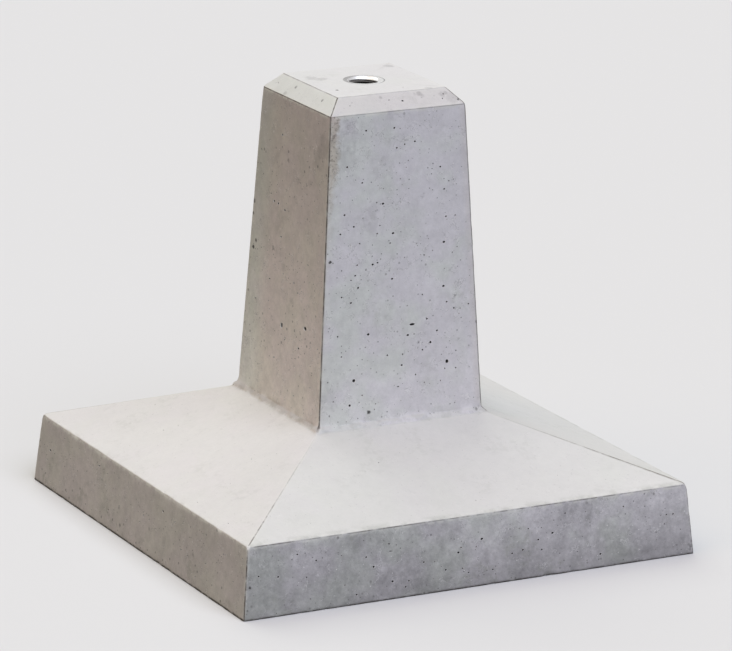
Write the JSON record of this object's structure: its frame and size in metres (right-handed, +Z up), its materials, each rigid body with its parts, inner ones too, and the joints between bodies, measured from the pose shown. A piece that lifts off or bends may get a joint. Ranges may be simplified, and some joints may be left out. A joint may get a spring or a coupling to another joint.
{
  "type": "concrete deck pier block",
  "caption": "Precast concrete pier block: square drafted pad, hipped shoulder and tapered column, with a chamfered head and a threaded steel socket cast into it.",
  "frame": {"origin": "centre of the underside, on the ground", "axes": "+Z up along the column and the socket's bore, X and Y square to the sides of the pad"},
  "size_m": [0.5, 0.5, 0.455],
  "materials": {
    "concrete": "light grey cast concrete, matt, with small air holes",
    "socket_steel": "turned and zinc plated",
    "pin_steel": "plain cut bar"
  },
  "bodies": {
    "root": {"concrete_block": "concrete", "threaded_socket": "socket_steel", "anchor_pin": "pin_steel"}
  },
  "joints": []
}
